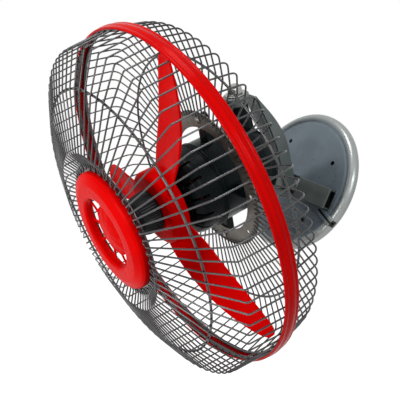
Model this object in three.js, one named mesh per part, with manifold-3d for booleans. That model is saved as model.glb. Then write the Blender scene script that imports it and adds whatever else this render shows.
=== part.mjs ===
// A wall fan of 400 mm sweep: a round wall plate, an arm that tilts on it, and a caged fan head that hangs
// and turns under the arm's eye. Millimetres. +Z up, the wall is the plane y = 0, and the room is at -Y.
// The head is drawn level in its own frame: the fan's axis is Y, and y = 0 is the front edge of the guard ring.
import * as THREE from "three";
import { mergeVertices } from "three/addons/utils/BufferGeometryUtils.js";
import Module from "manifold-3d";

const wasm = await Module();
wasm.setup();

// ---- clearances ----
const GAP = 0.3; // between pieces that are seated or fixed together
const RUN = 1.4; // between surfaces that slide past each other

// ---- pose in which the fan is drawn ----
const TILT = THREE.MathUtils.degToRad(43);

// ---- wall plate ----
const COVER_R = 93.3; // outer edge of the rolled rim
const COVER_T = 1.6;
const BASE_R = COVER_R - COVER_T - GAP; // the base plate inside it
const BASE_T = 2.5;
const RIM_R = 87.5; // crest of the rolled rim
const RIM_H = 10.4;
const BEAD_R = 81.3; // pressed groove inside the rim
const BEAD_H = 7.4;
const DOME_H = 12.2;
const WALL_HOLE_R = 3;
const WALL_HOLE_X = 44;
const WALL_HOLE_Z = 41;
const DUCT_ANGLE = THREE.MathUtils.degToRad(-22); // where the cord duct leaves the plate
const DUCT_W = 12;
const DUCT_SLOT = 3;
const DUCT_H = 12.4;

// ---- tilt joint ----
const TILT_AXIS_N = 11.2; // height of the tilt bolt above the wall
const TILT_AXIS_Z = -8;
const TILT_BOLT_R = 4;
const BARREL_R = 7.5;
const BRACKET_W = 144;
const BRACKET_H = 26;
const BRACKET_N = 20; // front face above the wall
const BRACKET_T = 2;
const CHEEK_T = 3;
const WASHER_T = 1.6;

// ---- arm ----
const ARM_W = 26;
const ARM_BACK = 3.3; // the arm's straight back, in front of the tilt axis when the head is level
const ARM_DEPTH = 22;
const EYE_R = 16;
const EYE_H = 11;
const LOCK_R = 4; // screw that clamps the swivel

// ---- fan head, from the ring's front edge ----
const HINGE_Y = 185.3; // tilt axis, behind the ring's front edge
const HINGE_Z = -65.3; // and below the fan's axis
const PIVOT_Y = 125;
const EYE_Z = 77; // underside of the arm's eye
const PIVOT_BOLT_R = 5;
const BUSH_R = PIVOT_BOLT_R + GAP + 2.8; // bushing in the eye
const NUT_AF = 17;
const NUT_H = 8;
const STUD_Z = 57; // bottom of the stud's hole in the motor's post

// ---- guard ----
const RING_R = 215;
const RING_W = 17.6;
const RING_T = 2;
const LIP = 2;
const HOOP_R = 2; // section radius of the outer and cross hoops
const WIRE_R = 1.4;
const WIRE_SIDES = 3;
const WIRES = 80;
const SHOULDER_R = 205;
const SHOULDER_Y = -39;
const MID_R = 165.5;
const MID_Y = -61;
const CROWN_R = 99;
const CROWN_Y = -82;
const REAR_CORNER_R = 199.5;
const REAR_CORNER_Y = 52.7;
const REAR_HOOP_R = 160.5;
const REAR_HOOP_Y = 63;
const DISC_OUT_R = 89.6; // annular plate in the middle of the rear guard
const DISC_IN_R = 68.4;
const DISC_T = 1.5;
const DISC_Y = 68.3; // its rear face
const SPLIT = 3; // between the ring's ends
const EAR_T = 3;
const SCREW_R = 2;

// ---- badge ----
const BADGE_R = 73.5;
const BADGE_Y = -85; // front face
const BADGE_D = 12;
const BADGE_T = 2.2;
const BADGE_EYE_R = 46; // the well in its middle
const BADGE_EYE_D = 13;
const BADGE_CAP_R = 33;
const BADGE_RIBS = 10;
const NOSE_IN_R = 52; // pressed ring behind the badge, on which the wires end
const NOSE_OUT_R = 84;
const NOSE_T = 1.4;
const BADGE_SCREW_R = 60;

// ---- motor ----
const MOTOR_R = 52;
const SHELL_T = 2.6;
const MOTOR_FRONT = 6;
const SPLIT_Y = 50; // joint between the front bell and the rear shell
const SHOULDER_REAR = 112; // where the rear shell starts to close
const MOTOR_END = 147;
const FLANGE = 1.6;
const VENTS = 14;
const LUG_T = 10;
const LUG_W = 18;
const DISC_SCREW_R = 79;
const STATOR_LEN = 40;
const STATOR_Y = 62;
const ROTOR_R = 29.2;
const SHAFT_R = 6;
const BEARING_R = 16;
const BEARING_W = 10;
const FRONT_BEARING_Y = 10;
const REAR_BEARING_Y = 128;
const SHAFT_FRONT = -44;

// ---- impeller ----
const HUB_R = 46;
const HUB_FRONT = -20;
const HUB_BACK = 2;
const HUB_T = 2.5;
const BOSS_R = 15;
const BLADES = 3;
const BLADE_T = 2.2;
const BLADE_ANGLE = THREE.MathUtils.degToRad(65); // first blade, in the pose drawn
// The blade's edges by radius: angle from the blade's line (degrees) and place along the axis.
const BLADE_EDGES = [
  { r: 44, lead: 31, leadY: 1, trail: -30, trailY: -13 },
  { r: 72, lead: 24, leadY: 6, trail: -23, trailY: -11 },
  { r: 102, lead: 18, leadY: 10, trail: -17, trailY: -6 },
  { r: 135, lead: 15.5, leadY: 14, trail: -10, trailY: 1 },
  { r: 165, lead: 14.5, leadY: 17, trail: -2, trailY: 8 },
  { r: 188, lead: 13.5, leadY: 19.5, trail: 4.5, trailY: 14 },
  { r: 197, lead: 11, leadY: 19.5, trail: 8, trailY: 17.5 },
];
const KNOB_R = 26;
const KNOB_FRONT = -48;
const KNOB_RIBS = 16;
const FLUTE = 1.6;
const PIN_R = 1.5;
const CAMBER = 3; // how far the blade's root bellies back

// ---- materials ----
const paint = (name, color, roughness, metalness) =>
  new THREE.MeshStandardMaterial({ name, color, roughness, metalness });
const RED = ["red plastic", 0xd40808, 0.35, 0];
const RED_PAINT = ["red paint", 0xd80a0a, 0.3, 0];
const WIRE = ["dark wire", 0x4a4d50, 0.4, 0.7];
const GREY = ["grey hammer paint", 0x7e8a8c, 0.5, 0.3];
const PLATE = ["plate grey", 0x84929a, 0.45, 0.3];
const BLACK = ["black paint", 0x1a2022, 0.5, 0.1];
const STEEL = ["zinc steel", 0xa8aaa8, 0.35, 0.9];
const DISC = ["warm grey steel", 0x8a8478, 0.5, 0.5];
const COPPER = ["copper winding", 0xb0602c, 0.45, 0.6];
const CORE = ["laminated steel", 0x6a6c70, 0.6, 0.7];
const NYLON = ["white nylon", 0xe6e4dc, 0.6, 0];
const RUBBER = ["black rubber", 0x202020, 0.9, 0];

// ---- making solids ----
function solid(geometry) {
  const bare = geometry.index ? geometry.clone() : mergeVertices(geometry);
  bare.deleteAttribute("normal");
  bare.deleteAttribute("uv");
  const merged = mergeVertices(bare, 1e-4);
  const corners = [];
  for (let i = 0; i < merged.index.count; i += 3) {
    const [a, b, c] = merged.index.array.slice(i, i + 3);
    if (a !== b && b !== c && c !== a) corners.push(a, b, c); // none collapsed onto the axis
  }
  const build = (list) =>
    new wasm.Manifold(new wasm.Mesh({
      numProp: 3,
      vertProperties: merged.attributes.position.array,
      triVerts: new Uint32Array(list),
    }));
  const made = build(corners);
  return made.volume() > 0 ? made : build(corners.reverse());
}

function geometryOf(made) {
  const mesh = made.getMesh();
  const g = new THREE.BufferGeometry();
  g.setAttribute("position", new THREE.BufferAttribute(mesh.vertProperties, 3));
  g.setIndex(new THREE.BufferAttribute(mesh.triVerts, 1));
  g.computeVertexNormals();
  return g;
}

const join = (pieces) => pieces.reduce((a, b) => a.add(b));
const cut = (body, tools) => tools.reduce((a, b) => a.subtract(b), body);

// Copies of a geometry spaced evenly round the Y axis.
const ringOf = (count, geometry, first = 0) =>
  Array.from({ length: count }, (_, i) => solid(geometry.clone().rotateY(first - (i * 2 * Math.PI) / count)));

// A closed profile of [radius, y] pairs turned about the Y axis.
function lathe(profile, segments = 48) {
  const points = profile.map(([r, y]) => new THREE.Vector2(r, y));
  points.push(points[0].clone());
  return new THREE.LatheGeometry(points, segments);
}

// A tube wall, a disc or a washer about the Y axis.
const tube = (inner, outer, y0, y1, segments = 40) =>
  lathe([[inner, y0], [outer, y0], [outer, y1], [inner, y1]], segments);

const rod = (r, y0, y1, segments = 16) =>
  new THREE.CylinderGeometry(r, r, Math.abs(y1 - y0), segments).translate(0, (y0 + y1) / 2, 0);

const block = (x0, x1, y0, y1, z0, z1) =>
  new THREE.BoxGeometry(x1 - x0, y1 - y0, z1 - z0)
    .translate((x0 + x1) / 2, (y0 + y1) / 2, (z0 + z1) / 2);

const alongX = (g) => g.rotateZ(-Math.PI / 2);
const alongZ = (g) => g.rotateX(Math.PI / 2);

// A wire hoop about the Y axis.
const hoop = (radius, y, section, segments = WIRES / 2) =>
  new THREE.TorusGeometry(radius, section, 4, segments).rotateX(Math.PI / 2).translate(0, y, 0);

// A path through given points, with a ring of vertices at each of them.
class BentPath extends THREE.Curve {
  constructor(points) {
    super();
    this.points = points;
  }
  getPoint(t) {
    const at = t * (this.points.length - 1);
    const i = Math.min(Math.floor(at + 1e-9), this.points.length - 2);
    return this.points[i].clone().lerp(this.points[i + 1], at - i);
  }
  getPointAt(u) {
    return this.getPoint(u);
  }
  getTangentAt(u) {
    const half = 0.5 / (this.points.length - 1);
    return this.getPoint(Math.min(1, u + half)).sub(this.getPoint(Math.max(0, u - half))).normalize();
  }
}

// A wire through given points.
function sweep(points) {
  const path = new BentPath(points);
  const section = new THREE.Shape();
  for (let i = 0; i < WIRE_SIDES; i++) {
    const a = Math.PI / 2 + (i / WIRE_SIDES) * 2 * Math.PI;
    section[i ? "lineTo" : "moveTo"](WIRE_R * Math.cos(a), WIRE_R * Math.sin(a));
  }
  section.closePath();
  return new THREE.ExtrudeGeometry(section, { extrudePath: path, steps: points.length - 1 });
}

const hexagon = (acrossFlats, y0, y1) => rod(acrossFlats / Math.sqrt(3), y0, y1, 6);

// ---- scene graph ----
const fan = new THREE.Group();
const tilting = new THREE.Group(); // the level head frame, turned down on the tilt bolt
tilting.position.set(0, -TILT_AXIS_N, TILT_AXIS_Z);
tilting.rotation.x = TILT;
const head = new THREE.Group(); // origin at the guard ring
head.position.set(0, -HINGE_Y, -HINGE_Z);
tilting.add(head);
fan.add(tilting);

function piece(group, name, made, look) {
  const mesh = new THREE.Mesh(geometryOf(made), paint(...look));
  mesh.name = name;
  group.add(mesh);
  return mesh;
}

// ---- wall plate ----
const wallHoles = (r, depth) =>
  [[-1, 1], [1, 1], [-1, -1], [1, -1]].map(([sx, sz]) =>
    solid(rod(r, -depth, 1, 12).translate(sx * WALL_HOLE_X, 0, sz * WALL_HOLE_Z)));

function basePlate() {
  return cut(solid(tube(0, BASE_R, -BASE_T, 0, 40)), wallHoles(WALL_HOLE_R, 2 * BASE_T));
}

function wallCover() {
  const skin = (t) => [
    [COVER_R - t, 0],
    [COVER_R - t, -(5 - t * 0.2)],
    [COVER_R - 2.6 - t * 0.8, -(8.6 - t * 0.7)],
    [RIM_R, -(RIM_H - t)],
    [RIM_R - 3.2 + t * 0.5, -(9.4 - t)],
    [BEAD_R, -(BEAD_H - t)],
    [BEAD_R - 3.5 - t * 0.2, -(8.6 - t)],
    [56, -(DOME_H - 1.2 - t)],
    [0, -(DOME_H - t)],
  ];
  const sheet = solid(lathe([...skin(0), ...skin(COVER_T).reverse()], 40));
  const window = solid(block(
    -BRACKET_W / 2 - GAP, BRACKET_W / 2 + GAP, -2 * DOME_H, 1,
    TILT_AXIS_Z - BRACKET_H / 2 - GAP, TILT_AXIS_Z + BRACKET_H / 2 + GAP,
  ));
  // The duct is pressed outwards from the bracket to the rim, slit along its top and open at its outer end.
  const duct = (w, from, to, r0, r1) =>
    solid(block(r0, r1, -to, -from, -w / 2, w / 2).rotateY(-DUCT_ANGLE));
  const raised = duct(DUCT_W, BASE_T + GAP, DUCT_H, 50, COVER_R - 1);
  const bore = duct(DUCT_W - 2 * COVER_T, BASE_T, DUCT_H - COVER_T, 58, COVER_R + 2);
  const slit = duct(DUCT_SLOT, BASE_T + 1, DUCT_H + 2, 64, COVER_R + 3);
  return cut(sheet.add(raised), [window, bore, slit, ...wallHoles(WALL_HOLE_R, 20)]);
}

piece(fan, "base_plate", basePlate(), STEEL);
piece(fan, "wall_cover", wallCover(), PLATE);

function grommet() {
  const w = DUCT_W - 2 * COVER_T - 2 * GAP;
  const bottom = BASE_T + GAP;
  const top = DUCT_H - COVER_T - GAP;
  const body = solid(block(COVER_R - 9, COVER_R - 1, -top, -bottom, -w / 2, w / 2));
  const bore = solid(alongX(rod(2.4, 0, 40, 16)).translate(COVER_R - 20, -(top + bottom) / 2, 0));
  return cut(body, [bore]);
}
const inlet = piece(fan, "cord_inlet_grommet", grommet(), RUBBER);
inlet.rotation.y = -DUCT_ANGLE;

// ---- tilt bracket ----
const cheekIn = ARM_W / 2 + GAP + WASHER_T + GAP;

function tiltBracket() {
  const z0 = TILT_AXIS_Z - BRACKET_H / 2;
  const z1 = TILT_AXIS_Z + BRACKET_H / 2;
  const shell = solid(block(-BRACKET_W / 2, BRACKET_W / 2, -BRACKET_N, -BASE_T, z0, z1));
  const hollow = solid(block(
    -BRACKET_W / 2 + BRACKET_T, BRACKET_W / 2 - BRACKET_T,
    -BRACKET_N + BRACKET_T, 0, z0 + BRACKET_T, z1 - BRACKET_T,
  ));
  const slot = solid(block(-cheekIn, cheekIn, -BRACKET_N - 1, 0, z0 + BRACKET_T, z1 + 1));
  const cheek = (x) =>
    solid(block(x, x + CHEEK_T, -BRACKET_N + 1, -BASE_T, z0 + 1, z1 - 1));
  const bore = solid(alongX(rod(TILT_BOLT_R + GAP, -30, 30)).translate(0, -TILT_AXIS_N, TILT_AXIS_Z));
  return cut(cut(shell, [hollow, slot]).add(cheek(cheekIn)).add(cheek(-cheekIn - CHEEK_T)), [bore]);
}
piece(fan, "tilt_bracket", tiltBracket(), GREY);

const tiltEnd = cheekIn + CHEEK_T + GAP;
const onTiltAxis = (g) => alongX(g).translate(0, -TILT_AXIS_N, TILT_AXIS_Z);
piece(fan, "tilt_bolt", solid(onTiltAxis(rod(TILT_BOLT_R, -tiltEnd - 6, tiltEnd + 7.5)))
  .add(solid(onTiltAxis(hexagon(13, -tiltEnd - 5.5, -tiltEnd)))), STEEL);
piece(fan, "tilt_nut", cut(solid(onTiltAxis(hexagon(13, tiltEnd, tiltEnd + 6.5))),
  [solid(onTiltAxis(rod(TILT_BOLT_R + GAP, 0, 60)))]), STEEL);
for (const [side, name] of [[-1, "tilt_washer_left"], [1, "tilt_washer_right"]]) {
  const from = side * (ARM_W / 2 + GAP);
  piece(fan, name, solid(onTiltAxis(tube(TILT_BOLT_R + GAP, 7.6, from, from + side * WASHER_T, 16))), NYLON);
}

// ---- arm, drawn in the head's frame ----
function armSide() {
  const back = HINGE_Y - ARM_BACK;
  const front = back - ARM_DEPTH;
  const top = EYE_Z + EYE_H;
  const s = new THREE.Shape();
  s.moveTo(HINGE_Y - 7, HINGE_Z - 3);
  s.lineTo(front, HINGE_Z + 12);
  s.lineTo(front, -16);
  s.bezierCurveTo(front, 22, front - 10, 44, PIVOT_Y + 20, EYE_Z - 5);
  s.quadraticCurveTo(PIVOT_Y + 17, EYE_Z, PIVOT_Y + 13, EYE_Z);
  s.lineTo(PIVOT_Y, EYE_Z);
  s.lineTo(PIVOT_Y, top);
  s.lineTo(PIVOT_Y + 10, top);
  s.lineTo(PIVOT_Y + 24, EYE_Z + 1.5);
  s.bezierCurveTo(back - 20, 56, back, 32, back, -6);
  s.lineTo(back, HINGE_Z + 8);
  s.closePath();
  return s;
}

function arm() {
  const bevel = 2.4;
  const strut = new THREE.ExtrudeGeometry(armSide(), {
    depth: ARM_W - 2 * bevel, curveSegments: 6,
    bevelEnabled: true, bevelThickness: bevel, bevelSize: bevel, bevelOffset: -bevel, bevelSegments: 1,
  });
  // The side view is drawn as (y, z) and extruded along X.
  const toSide = new THREE.Matrix4().makeBasis(
    new THREE.Vector3(0, 1, 0), new THREE.Vector3(0, 0, 1), new THREE.Vector3(1, 0, 0),
  );
  strut.translate(0, 0, -ARM_W / 2 + bevel).applyMatrix4(toSide);
  const barrel = alongX(rod(BARREL_R, -ARM_W / 2, ARM_W / 2, 20)).translate(0, HINGE_Y, HINGE_Z);
  const eye = alongZ(rod(EYE_R, EYE_Z, EYE_Z + EYE_H, 28)).translate(0, PIVOT_Y, 0);
  const pivotBore = alongZ(rod(BUSH_R + GAP, EYE_Z - 20, EYE_Z + EYE_H + 20, 24)).translate(0, PIVOT_Y, 0);
  const tiltBore = alongX(rod(TILT_BOLT_R + GAP, -30, 30)).translate(0, HINGE_Y, HINGE_Z);
  const lockBore = rod(LOCK_R + GAP, PIVOT_Y - 30, PIVOT_Y, 20).translate(0, 0, EYE_Z + EYE_H / 2);
  return cut(join([strut, barrel, eye].map(solid)), [pivotBore, tiltBore, lockBore].map(solid));
}
piece(head, "arm", arm(), GREY);

const onPivot = (g) => alongZ(g).translate(0, PIVOT_Y, 0);
const eyeTop = EYE_Z + EYE_H;
piece(head, "pivot_bushing", solid(onPivot(tube(PIVOT_BOLT_R + GAP, BUSH_R, EYE_Z, eyeTop, 20))), NYLON);
const lockScrew = rod(LOCK_R, PIVOT_Y - EYE_R - 3, PIVOT_Y - BUSH_R - GAP, 16);
const lockHead = hexagon(13, PIVOT_Y - EYE_R - 9, PIVOT_Y - EYE_R - 2.5);
piece(head, "swivel_lock_screw",
  join([lockScrew, lockHead].map((g) => solid(g.translate(0, 0, EYE_Z + EYE_H / 2)))), BLACK);

// ---- swivel joint: the stud, washer and nut turn with the motor ----
piece(head, "pivot_stud", solid(onPivot(rod(PIVOT_BOLT_R, STUD_Z + GAP, eyeTop + NUT_H + 5))), STEEL);
piece(head, "pivot_washer",
  solid(onPivot(tube(PIVOT_BOLT_R + GAP, 12.5, eyeTop + GAP, eyeTop + GAP + WASHER_T, 20))), STEEL);
const nutZ = eyeTop + 2 * GAP + WASHER_T;
piece(head, "pivot_nut", cut(solid(onPivot(hexagon(NUT_AF, nutZ, nutZ + NUT_H))),
  [solid(onPivot(rod(PIVOT_BOLT_R + GAP, 0, 2 * EYE_Z)))]), STEEL);

// ---- motor ----
const bearingBore = BEARING_R + GAP;
const housing = bearingBore + 4.2;

function frontBell() {
  const skin = (t) => [
    [MOTOR_R - t, 26 + t * 0.3],
    [MOTOR_R - 2.5 - t * 0.9, 19 + t * 0.7],
    [MOTOR_R - 9 - t * 0.5, 13 + t],
    [MOTOR_R - 20, 9.5 + t],
    [housing, 9 + t],
  ];
  const shell = lathe([
    [SHAFT_R + 2 * GAP, MOTOR_FRONT],
    [housing - 1.5, MOTOR_FRONT],
    ...skin(0).reverse(),
    [MOTOR_R, SPLIT_Y - SHELL_T],
    [MOTOR_R + FLANGE, SPLIT_Y - SHELL_T],
    [MOTOR_R + FLANGE, SPLIT_Y],
    [MOTOR_R - SHELL_T, SPLIT_Y],
    ...skin(SHELL_T),
    [housing, FRONT_BEARING_Y + BEARING_W + 1],
    [bearingBore, FRONT_BEARING_Y + BEARING_W + 1],
    [bearingBore, FRONT_BEARING_Y - GAP],
    [SHAFT_R + 2 * GAP, FRONT_BEARING_Y - GAP],
  ], 28);
  const slots = ringOf(VENTS, block(MOTOR_R - 14, MOTOR_R + 8, 0, 30, -1.8, 1.8), Math.PI / VENTS);
  return cut(solid(shell), [join(slots)]);
}

const discFront = DISC_Y - DISC_T;
const lugFace = DISC_Y + GAP;

// One of four lugs that carry the guard's annular plate.
function lug() {
  const s = new THREE.Shape();
  const tip = DISC_SCREW_R + 1;
  s.moveTo(MOTOR_R - 2, -LUG_W / 2);
  s.lineTo(tip, -LUG_W / 3);
  s.absarc(tip, 0, LUG_W / 3, -Math.PI / 2, Math.PI / 2, false);
  s.lineTo(MOTOR_R - 2, LUG_W / 2);
  s.closePath();
  return new THREE.ExtrudeGeometry(s, { depth: LUG_T, bevelEnabled: false, curveSegments: 3 })
    .rotateX(Math.PI / 2)
    .translate(0, lugFace + LUG_T, 0);
}

const screwHoles = (r, y0, y1) => ringOf(4, rod(r, y0, y1, 10).translate(DISC_SCREW_R, 0, 0));

function rearShell() {
  const skin = (t) => [
    [MOTOR_R - t, SHOULDER_REAR],
    [MOTOR_R - 2 - t, SHOULDER_REAR + 12 - t * 0.4],
    [MOTOR_R - 8 - t * 0.8, SHOULDER_REAR + 23 - t * 0.8],
    [MOTOR_R - 19 - t * 0.4, MOTOR_END - 4 - t],
    [housing, MOTOR_END - 0.8 - t],
  ];
  const shell = lathe([
    [MOTOR_R - SHELL_T, SPLIT_Y + GAP],
    [MOTOR_R + FLANGE, SPLIT_Y + GAP],
    [MOTOR_R + FLANGE, SPLIT_Y + GAP + SHELL_T],
    [MOTOR_R, SPLIT_Y + GAP + SHELL_T],
    ...skin(0),
    [0, MOTOR_END],
    [0, REAR_BEARING_Y + BEARING_W + 4],
    [bearingBore, REAR_BEARING_Y + BEARING_W + 4],
    [bearingBore, REAR_BEARING_Y - 1],
    [housing, REAR_BEARING_Y - 1],
    ...skin(SHELL_T).reverse(),
  ], 28);
  const post = onPivot(new THREE.CylinderGeometry(12, 14, EYE_Z - GAP - 38, 20)
    .translate(0, (EYE_Z - GAP + 38) / 2, 0));
  const studHole = onPivot(rod(PIVOT_BOLT_R + GAP, STUD_Z, 2 * EYE_Z));
  const body = join([solid(shell), ...ringOf(4, lug()), solid(post)]);
  return cut(body, [solid(studHole), ...screwHoles(SCREW_R + GAP, lugFace - 1, lugFace + 8)]);
}

piece(head, "motor_front_bell", frontBell(), BLACK);
piece(head, "motor_rear_shell", rearShell(), BLACK);
const statorR = MOTOR_R - SHELL_T - GAP;
const boreR = ROTOR_R + 0.8;
const statorEnd = STATOR_Y + STATOR_LEN;
piece(head, "stator_core", solid(tube(boreR, statorR, STATOR_Y, statorEnd, 28)), CORE);

function winding(from, to) {
  const mid = (from + to) / 2;
  return solid(lathe([
    [boreR + 3, from], [statorR - 4, from], [statorR - 3, mid],
    [statorR - 6, to], [boreR + 5, to], [boreR + 2, mid],
  ], 28));
}
piece(head, "winding_front", winding(STATOR_Y - GAP, STATOR_Y - 8.5), COPPER);
piece(head, "winding_rear", winding(statorEnd + GAP, statorEnd + 8.5), COPPER);
piece(head, "run_capacitor",
  solid(block(-15, 15, statorEnd + 8.5 + GAP, statorEnd + 20, -boreR - 8, -boreR + 5)), NYLON);
for (const [name, y] of [["bearing_front", FRONT_BEARING_Y], ["bearing_rear", REAR_BEARING_Y]]) {
  piece(head, name, solid(tube(SHAFT_R + GAP, BEARING_R, y, y + BEARING_W, 20)), STEEL);
}

// ---- guard ----
const ringIn = RING_R - RING_T;
const hoopR = ringIn - 2 * GAP - HOOP_R;
const lipT = 1.2;
const frontHoopY = lipT + GAP + HOOP_R;
const rearHoopY = RING_W - lipT - GAP - HOOP_R;
const wireOffset = HOOP_R + WIRE_R + GAP; // from a cross hoop's centre to the wires lying on it

// The band that clamps both halves of the guard together; its ends meet at the bottom in two ears.
function guardRing() {
  const band = solid(lathe([
    [ringIn - LIP, 0], [RING_R, 0], [RING_R, RING_W], [ringIn - LIP, RING_W], [ringIn - LIP, RING_W - lipT], [ringIn, RING_W - lipT],
    [ringIn, lipT], [ringIn - LIP, lipT],
  ], 60));
  const ears = solid(block(-EAR_T - SPLIT / 2, EAR_T + SPLIT / 2, 3, RING_W - 3, -RING_R - 9, -ringIn - 0.5));
  const split = solid(block(-SPLIT / 2, SPLIT / 2, -1, RING_W + 1, -RING_R - 12, -ringIn + 20));
  const bore = solid(alongX(rod(2 + GAP, -20, 20, 16)).translate(0, RING_W / 2, -RING_R - 5));
  return cut(band.add(ears), [split, bore]);
}
piece(head, "guard_ring", guardRing(), RED_PAINT);

const onRingScrew = (g) => alongX(g).translate(0, RING_W / 2, -RING_R - 5);
const earEnd = SPLIT / 2 + EAR_T + GAP;
piece(head, "ring_screw", solid(onRingScrew(rod(2, -earEnd - 1, earEnd + 4.5, 12)))
  .add(solid(onRingScrew(rod(3.6, -earEnd - 2.6, -earEnd, 16)))), STEEL);
piece(head, "ring_nut", cut(solid(onRingScrew(hexagon(7, earEnd, earEnd + 3))),
  [solid(onRingScrew(rod(2 + GAP, 0, 20, 12)))]), STEEL);

// The hoop at each half's edge, in which its wires end.
const rimHoop = (y) => tube(hoopR - HOOP_R, hoopR + HOOP_R, y - HOOP_R, y + HOOP_R, WIRES / 2);

// Each front wire is a hairpin: in over the dome, round a short bend beside the badge, and out again.
const noseFace = BADGE_Y + BADGE_D + GAP; // front face of the pressed ring behind the badge
const wireEndY = noseFace - GAP - WIRE_R;

function frontGuard() {
  const pitch = (2 * Math.PI) / WIRES;
  const leg = [
    [hoopR - 1.2, frontHoopY],
    [SHOULDER_R + 1.5, SHOULDER_Y + 9],
    [SHOULDER_R - 3.5, SHOULDER_Y - 4],
    [MID_R, MID_Y],
    [CROWN_R, CROWN_Y],
    [NOSE_OUT_R, wireEndY],
  ];
  const at = ([r, y], a) => new THREE.Vector3(r * Math.cos(a), y, r * Math.sin(a));
  const bend = at([NOSE_OUT_R - 7.5, wireEndY], 0);
  const pin = sweep([
    ...leg.map((p) => at(p, -pitch / 2)),
    bend,
    ...leg.map((p) => at(p, pitch / 2)).reverse(),
  ]);
  return join([solid(rimHoop(frontHoopY)), ...ringOf(WIRES / 2, pin)]);
}
piece(head, "front_guard", frontGuard(), WIRE);
piece(head, "front_cross_hoop", solid(hoop(MID_R, MID_Y + wireOffset, HOOP_R)), WIRE);

function rearGuard() {
  const wire = sweep([
    [hoopR - 0.5, rearHoopY],
    [REAR_CORNER_R + 4, REAR_CORNER_Y - 6],
    [REAR_CORNER_R - 4, REAR_CORNER_Y + 5],
    [REAR_HOOP_R, REAR_HOOP_Y + wireOffset],
    [DISC_OUT_R - 5.5, discFront - GAP - WIRE_R],
  ].map(([r, y]) => new THREE.Vector3(r, y, 0)));
  return join([solid(rimHoop(rearHoopY)), ...ringOf(WIRES, wire)]);
}
piece(head, "rear_guard", rearGuard(), WIRE);
piece(head, "rear_cross_hoop", solid(hoop(REAR_HOOP_R, REAR_HOOP_Y, HOOP_R)), WIRE);

function guardDisc() {
  const disc = solid(tube(DISC_IN_R, DISC_OUT_R, discFront, DISC_Y, 40));
  const spare = ringOf(4, rod(2.6, discFront - 1, DISC_Y + 1, 10).translate(DISC_SCREW_R, 0, 0), Math.PI / 4);
  return cut(disc, [...screwHoles(SCREW_R + GAP, discFront - 1, DISC_Y + 1), ...spare]);
}
piece(head, "guard_disc", guardDisc(), DISC);

ringOf(4, rod(SCREW_R, discFront - GAP - 1, lugFace + 7, 8).translate(DISC_SCREW_R, 0, 0))
  .map((shank, i) => shank.add(
    ringOf(4, rod(4.2, discFront - GAP - 2.8, discFront - GAP, 12).translate(DISC_SCREW_R, 0, 0))[i]))
  .forEach((screw, i) => piece(head, `disc_screw_${i + 1}`, screw, STEEL));

// ---- badge ----
function badge() {
  const back = BADGE_Y + BADGE_D;
  const wellBack = BADGE_Y + BADGE_EYE_D;
  const face = solid(lathe([
    [BADGE_EYE_R - BADGE_T, wellBack],
    [BADGE_EYE_R - BADGE_T, BADGE_Y + 1],
    [BADGE_EYE_R, BADGE_Y - 0.6],
    [BADGE_R - 12, BADGE_Y - 0.9],
    [BADGE_R - 2, BADGE_Y],
    [BADGE_R, BADGE_Y + 2],
    [BADGE_R, back],
    [BADGE_R - BADGE_T, back],
    [BADGE_R - BADGE_T, BADGE_Y + BADGE_T + 1],
    [BADGE_EYE_R, BADGE_Y + BADGE_T],
    [BADGE_EYE_R, wellBack],
  ], 36));
  const cap = solid(lathe([
    [0, wellBack - 8],
    [BADGE_CAP_R * 0.45, wellBack - 7.2],
    [BADGE_CAP_R * 0.8, wellBack - 5],
    [BADGE_CAP_R, wellBack - 2.5],
    [BADGE_CAP_R, wellBack],
    [BADGE_CAP_R - 3, wellBack],
    [BADGE_CAP_R * 0.5, wellBack - 4.5],
    [0, wellBack - 5.8],
  ], 24));
  const ribs = ringOf(BADGE_RIBS, block(BADGE_CAP_R - 2, BADGE_EYE_R - 0.5, wellBack - 2.4, wellBack, -2, 2));
  const bosses = ringOf(3, rod(4, BADGE_Y + BADGE_T / 2, back, 12).translate(BADGE_SCREW_R, 0, 0), -Math.PI / 2);
  const holes = ringOf(3, rod(1.5 + GAP, back - 7, back + 1, 8).translate(BADGE_SCREW_R, 0, 0), -Math.PI / 2);
  return cut(join([face, cap, ...ribs, ...bosses]), holes);
}
piece(head, "badge", badge(), RED);

function noseRing() {
  const disc = solid(tube(NOSE_IN_R, NOSE_OUT_R, noseFace, noseFace + NOSE_T, 36));
  return cut(disc, ringOf(3, rod(1.5 + GAP, noseFace - 1, noseFace + 4, 8).translate(BADGE_SCREW_R, 0, 0), -Math.PI / 2));
}
piece(head, "nose_ring", noseRing(), WIRE);
const noseBack = noseFace + NOSE_T + GAP;
ringOf(3, rod(1.5, noseBack - 7, noseBack + 1, 8).translate(BADGE_SCREW_R, 0, 0), -Math.PI / 2)
  .map((shank, i) => shank.add(
    ringOf(3, rod(3.2, noseBack, noseBack + 2.2, 10).translate(BADGE_SCREW_R, 0, 0), -Math.PI / 2)[i]))
  .forEach((screw, i) => piece(head, `badge_screw_${i + 1}`, screw, STEEL));

// ---- rotor: everything that spins ----
const pinY = HUB_BACK - 1.6;
const shaft = cut(solid(rod(SHAFT_R, SHAFT_FRONT, REAR_BEARING_Y + BEARING_W + 1.5)),
  [solid(alongX(rod(PIN_R + GAP, -20, 20, 12)).translate(0, pinY, 0))]);
piece(head, "motor_shaft", shaft, STEEL);
piece(head, "rotor_core", solid(tube(SHAFT_R + GAP, ROTOR_R, STATOR_Y - 1, statorEnd + 1, 28)), CORE);
piece(head, "drive_pin", solid(alongX(rod(PIN_R, -BOSS_R + 1, BOSS_R - 1, 12)).translate(0, pinY, 0)), STEEL);

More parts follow.
